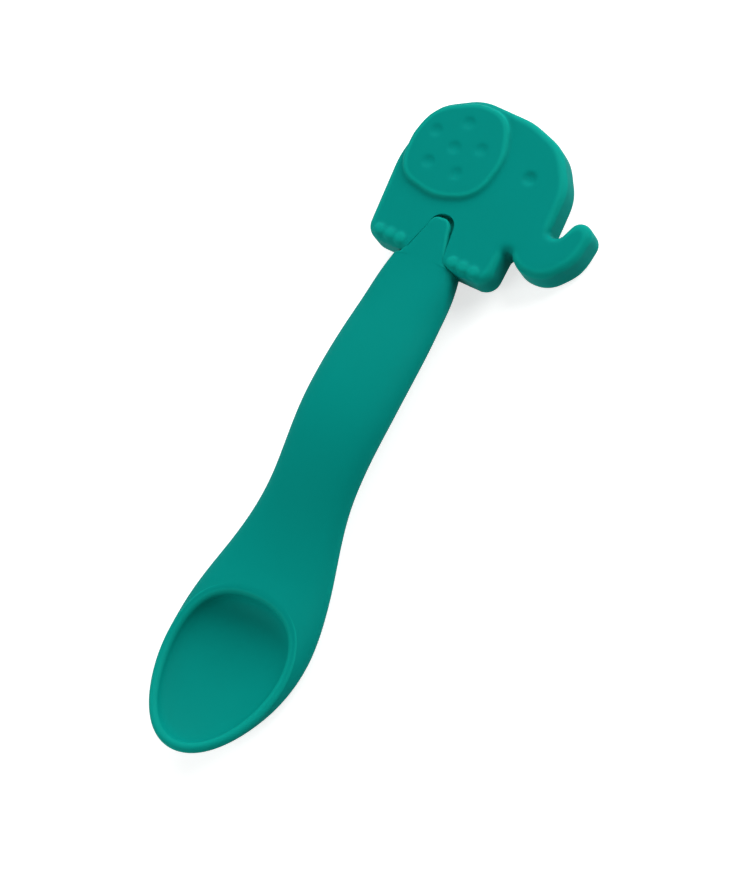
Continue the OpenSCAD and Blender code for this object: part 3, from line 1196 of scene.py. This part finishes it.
    def build(self) -> Piece:
        """Make the elephant: slabs and toenails fused to one soft skin, dimpled and notched.

        Returns:
            The finished mesh.
        """
        piece = joined(self.slabs() + [self.toes()])
        piece.name = piece.data.name = "soft_elephant"
        finish_with(piece, "REMESH", mode="VOXEL", voxel_size=self.skin_mm * MM)
        eye = (self.eye_share[0] * self.figure_h, self.eye_share[1] * self.figure_w)
        face = self.figure_t / 2
        cut_out(piece, self.dimples([eye], (face, face), self.eye_d, self.eye_depth))
        lower, upper = (face + proud for proud in self.ears_proud)
        ear_places = self.ear_places()
        cut_out(piece, self.dimples(ear_places, (lower, upper), self.dimple_d, self.dimple_depth))
        # Fused again, so that the dimples' edges soften with the rest
        finish_with(piece, "REMESH", mode="VOXEL", voxel_size=self.skin_mm * MM)
        finish_with(piece, "SMOOTH", factor=SMOOTHING, iterations=self.soft_passes)
        mark_convexity(piece, self.highlight_passes, self.highlight_gain)
        # Cut last, so that the edges round the tongue stay crisp
        end_r, floor, far = self.spoon.tongue_end_w / 2, face - self.groove_depth, self.figure_t
        cut_out(piece, self.notch((0.0, 0.0), end_r - self.notch_press, -far, far))
        cut_out(piece, self.notch(self.groove_off, end_r, floor, far))
        cut_out(piece, self.notch(self.groove_off, end_r, -far, -floor))
        return piece


# The photograph's view


@dataclass(frozen=True)
class PhotoCamera:
    """The photograph's viewpoint, found from the spoon's outline."""

    azimuth: float = -22.0
    elevation: float = 61.0
    roll: float = -43.8846
    # The point of the spoon that is in the middle of the picture
    target_mm: Point = (71.1722, -7.3404, 5.0)
    distance_mm: float = 600.0
    # The focal length and the picture's height, in the photograph's pixels
    focal_px: float = 3108.78
    height_px: float = 876.0
    sensor_mm: float = 36.0
    sees_m: float = 100.0

    def add(self, placed: Placing) -> None:
        """Add the camera and make it the scene's.

        Args:
            placed: Takes a point of the spoon to its place in the frame.
        """
        back = direction(self.azimuth, self.elevation)
        right = Vector((0, 0, 1)).cross(back).normalized()
        up, roll = back.cross(right), radians(self.roll)
        axes = (right * cos(roll) + up * sin(roll), up * cos(roll) - right * sin(roll), back)
        deselect_all()
        bpy.ops.object.camera_add()
        camera = bpy.context.object
        camera.name = "photo_camera"
        camera.matrix_world = Matrix(axes).transposed().to_4x4()
        camera.location = placed(Vector(self.target_mm)) + back * self.distance_mm * MM
        camera.data.sensor_fit = "VERTICAL"
        camera.data.sensor_height = self.sensor_mm
        camera.data.lens = self.focal_px * self.sensor_mm / self.height_px
        camera.data.clip_start = MM
        camera.data.clip_end = self.sees_m
        bpy.context.scene.camera = camera


@dataclass(frozen=True)
class SoftLamp:
    """A square studio lamp, turned to the spoon."""

    name: str
    azimuth: float
    watts: float
    elevation: float = 32.0
    distance_m: float = 1.2
    size_m: float = 0.9

    def add(self) -> None:
        """Add the lamp."""
        way = direction(self.azimuth, self.elevation)
        deselect_all()
        bpy.ops.object.light_add(type="AREA", location=way * self.distance_m)
        lamp = bpy.context.object
        lamp.name = self.name
        lamp.rotation_euler = way.to_track_quat("Z", "Y").to_euler()
        lamp.data.shape = "SQUARE"
        lamp.data.size = self.size_m
        lamp.data.energy = self.watts


@dataclass(frozen=True)
class Studio:
    """A pale table top under soft light, in a white room."""

    table_r_m: float = 1.6
    table_t_m: float = 0.03
    table_n: int = 128
    edge_m: float = 0.006
    edge_n: int = 4
    table_colour: str = "#D8D8D8"
    table_roughness: float = 0.6
    table_gloss: float = 0.2
    # What the camera's own rays see more of the table, so that it's white but keeps its shadows
    table_glow: float = 0.7
    room_light: float = 0.08
    # Two soft boxes past the elephant's end, one on each side, and one past the bowl's end
    lamps: tuple[SoftLamp, ...] = (
        SoftLamp("left_soft_box", 120.0, 7.3),
        SoftLamp("right_soft_box", 60.0, 13.1),
        SoftLamp("fill_soft_box", 240.0, 8.0),
    )

    def table(self) -> Piece:
        """Make the table top, a disc with a soft edge.

        Returns:
            The table top, its upper face at height 0.
        """
        deselect_all()
        bpy.ops.mesh.primitive_cylinder_add(
            vertices=self.table_n,
            radius=self.table_r_m,
            depth=self.table_t_m,
            location=(0, 0, -self.table_t_m / 2),
        )
        top = settled()
        top.name = "table_top"
        finish_with(top, "BEVEL", width=self.edge_m, segments=self.edge_n, limit_method="ANGLE")
        top.data.materials.append(self._laminate())
        return top

    def _laminate(self) -> bpy.types.Material:
        """Make the table's finish, which glows for the eye and for what gloss and clear things mirror.

        Returns:
            The material.
        """
        material = bpy.data.materials.new("white_table_laminate")
        recipe = Recipe(material)
        laminate = {
            "Base Color": linear(self.table_colour),
            "Roughness": self.table_roughness,
            "Specular IOR Level": self.table_gloss,
        }
        shader = recipe.add("ShaderNodeBsdfPrincipled", laminate)
        rays = {0: self._plain_rays(recipe)}
        seen = recipe.add("ShaderNodeMath", {1: self.table_glow}, rays, operation="MULTIPLY")
        glow = recipe.add("ShaderNodeEmission", links={"Strength": seen.outputs["Value"]})
        both = recipe.add(
            "ShaderNodeAddShader", links={0: shader.outputs["BSDF"], 1: glow.outputs["Emission"]}
        )
        recipe.add("ShaderNodeOutputMaterial", links={"Surface": both.outputs["Shader"]})
        return material

    def _plain_rays(self, recipe: Recipe) -> Socket:
        """Tell the rays that see from those that light.

        Args:
            recipe: The tree to add the nodes to.

        Returns:
            1 for camera, glossy and transmission rays, and 0 for the rest.
        """
        path = recipe.add("ShaderNodeLightPath")
        rays = path.outputs["Is Camera Ray"]
        for kind in ("Is Glossy Ray", "Is Transmission Ray"):
            either = {0: rays, 1: path.outputs[kind]}
            rays = recipe.add("ShaderNodeMath", links=either, operation="MAXIMUM").outputs["Value"]
        return rays

    def room(self) -> None:
        """Make the world: white to the eye, and dimmer as a light."""
        world = bpy.data.worlds.new("white_room")
        bpy.context.scene.world = world
        recipe = Recipe(world)
        rays = {"Value": self._plain_rays(recipe)}
        seen = recipe.add("ShaderNodeMapRange", {"To Min": self.room_light, "To Max": 1.0}, rays)
        strength = {"Strength": seen.outputs["Result"]}
        light = recipe.add("ShaderNodeBackground", {"Color": (1.0, 1.0, 1.0, 1.0)}, strength)
        recipe.add("ShaderNodeOutputWorld", links={"Surface": light.outputs["Background"]})

    def build(self) -> Piece:
        """Set up the table, the lamps and the room.

        Returns:
            The table top.
        """
        self.room()
        for lamp in self.lamps:
            lamp.add()
        bpy.context.scene.view_settings.view_transform = "Standard"
        return self.table()


# The whole spoon


def dress(piece: Piece, material: bpy.types.Material, slot: Slot, node: str) -> None:
    """Give a finished piece its material and its place in the frame.

    Args:
        piece: The piece.
        material: Its finish.
        slot: The record's slot for that finish; not used.
        node: The CAD node that it stands for.
    """
    pick([piece])
    bpy.ops.object.shade_smooth_by_angle(angle=radians(HARD_EDGE))
    piece.data.materials.clear()
    piece.data.materials.append(material)
    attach(piece, "root")
    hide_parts(node)
    LOG.info("%s: %d faces, stands for %s", piece.name, len(piece.data.polygons), node)


def main() -> None:
    """Build the spoon on its table."""
    logging.basicConfig(level=logging.INFO, format="%(message)s")
    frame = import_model()
    low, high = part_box("spoon_moulding")
    shift = Vector((low.x, (low.y + high.y) / 2, 0))

    def placed(p: Vector) -> Vector:
        """Take a point of the spoon, in millimetres, to its place in the frame."""
        return p * MM + shift

    PhotoCamera().add(placed)
    Studio().build()

    silicone = MouldedSilicone().material()
    spoon = SpoonMoulding()
    dress(spoon.build(placed), silicone, Slot.SILICONE, "spoon_moulding")
    elephant = ElephantFigure(spoon, placed).build()
    dress(elephant, silicone, Slot.SILICONE, "elephant_figure")

    core = frame["nodes"]["stiffener_core"]
    core.data.materials.clear()
    core.data.materials.append(MouldedNylon().material())
    LOG.info("stiffener_core: the CAD's own mesh in nylon")


if __name__ == "__main__":
    main()
